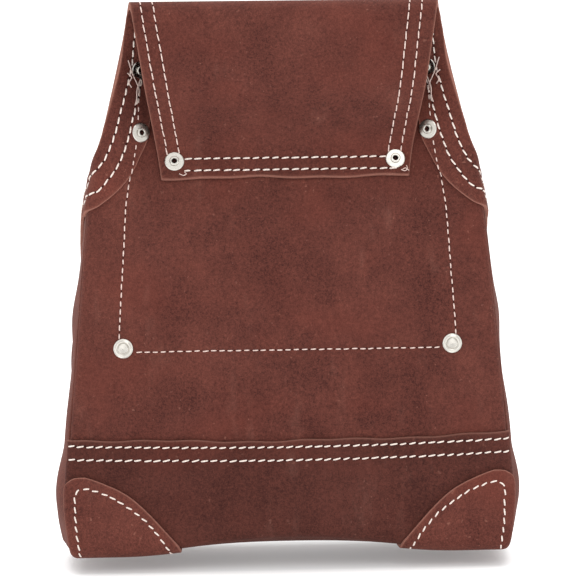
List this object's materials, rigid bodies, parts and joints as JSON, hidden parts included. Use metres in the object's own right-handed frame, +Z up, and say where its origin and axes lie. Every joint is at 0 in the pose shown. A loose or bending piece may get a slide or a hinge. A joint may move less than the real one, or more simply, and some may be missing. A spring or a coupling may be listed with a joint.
{
  "type": "electrician tool pouch",
  "caption": "Riveted leather tool pouch with a folded belt loop, nested tool pockets on the back panel, gusseted main pouch and wrapped base.",
  "frame": {"origin": "centre of the base on the surface that the pouch stands on", "axes": "+Z up towards the belt fold, -Y out of the belt side, +X to the right seen from the belt side"},
  "size_m": [0.2578, 0.1037, 0.3],
  "materials": {
    "leather": "matt oiled split leather, dark red-brown",
    "leather_trim": "matt oiled split leather, dark red-brown",
    "nickel": "satin nickel plate"
  },
  "bodies": {
    "root": {"back_panel": "leather", "left_edge_strip": "leather_trim", "right_edge_strip": "leather_trim", "left_gusset": "leather", "right_gusset": "leather", "left_gusset_strip": "leather_trim", "right_gusset_strip": "leather_trim", "front_mouth_strip": "leather_trim", "front_panel": "leather", "base_wrap": "leather", "left_corner_patch": "leather", "right_corner_patch": "leather", "large_inner_pocket": "leather", "small_inner_pocket": "leather", "loop_rivets": "nickel", "loop_rivet_washers": "nickel", "upper_rivets": "nickel", "upper_rivet_washers": "nickel", "mid_rivets": "nickel", "mid_rivet_washers": "nickel", "lower_rivets": "nickel", "lower_rivet_washers": "nickel"}
  },
  "joints": []
}
